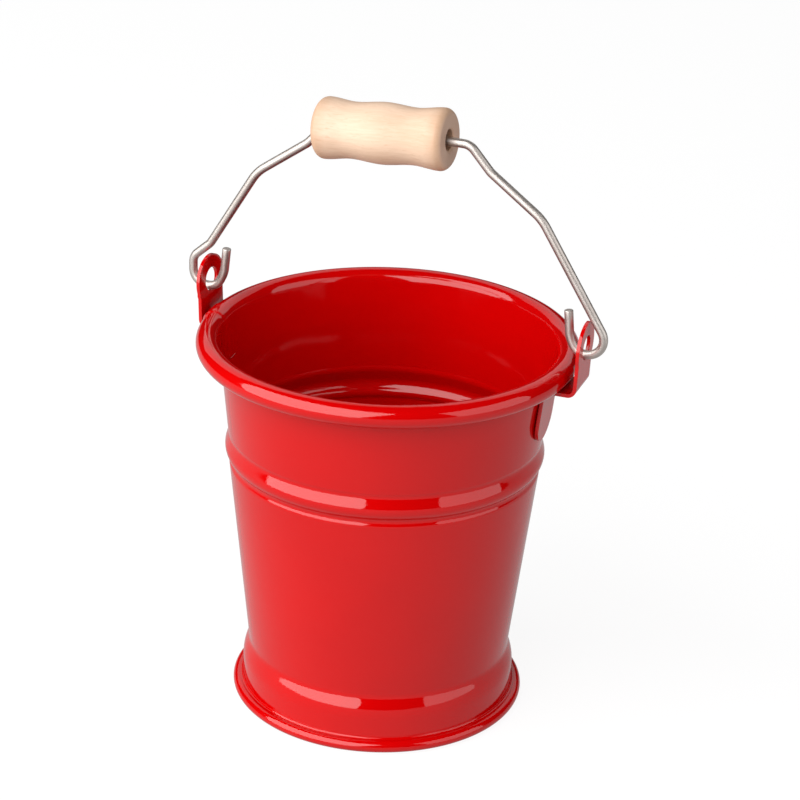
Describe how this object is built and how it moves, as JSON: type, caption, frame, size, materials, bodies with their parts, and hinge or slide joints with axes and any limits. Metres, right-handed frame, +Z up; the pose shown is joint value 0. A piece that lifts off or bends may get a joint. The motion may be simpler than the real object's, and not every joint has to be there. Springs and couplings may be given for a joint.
{
  "type": "sand bucket",
  "caption": "Small tapered steel bucket with rolled rim and foot, a stiffening bead, stepped ears, a swinging wire bail and a loose turned wooden grip.",
  "frame": {"origin": "centre of the foot, on the surface the bucket stands on", "axes": "+Z up through the mouth, +X from the left ear to the right ear, +Y from front to back"},
  "size_m": [0.1523, 0.13, 0.2144],
  "materials": {
    "red_enamel": "glossy baked enamel on sheet steel",
    "steel_wire": "satin drawn wire",
    "pale_wood": "smooth sanded beech, waxed"
  },
  "bodies": {
    "bucket": {"bucket_body": "red_enamel", "bottom_disc": "red_enamel", "left_ear": "red_enamel", "right_ear": "red_enamel"},
    "bail": {"bail_wire": "steel_wire"},
    "grip": {"wooden_grip": "pale_wood"}
  },
  "joints": [
    {"name": "bail_swing", "type": "hinge", "parent": "bucket", "child": "bail", "pos_m": [0, 0.00293, 0.1381], "axis": [1, 0, 0], "range_deg": [-85, 84]},
    {"name": "grip_spin", "type": "hinge", "parent": "bail", "child": "grip", "pos_m": [-0.005, 0.00293, 0.2029], "axis": [0.9984, 0, 0.0558], "continuous": true}
  ]
}
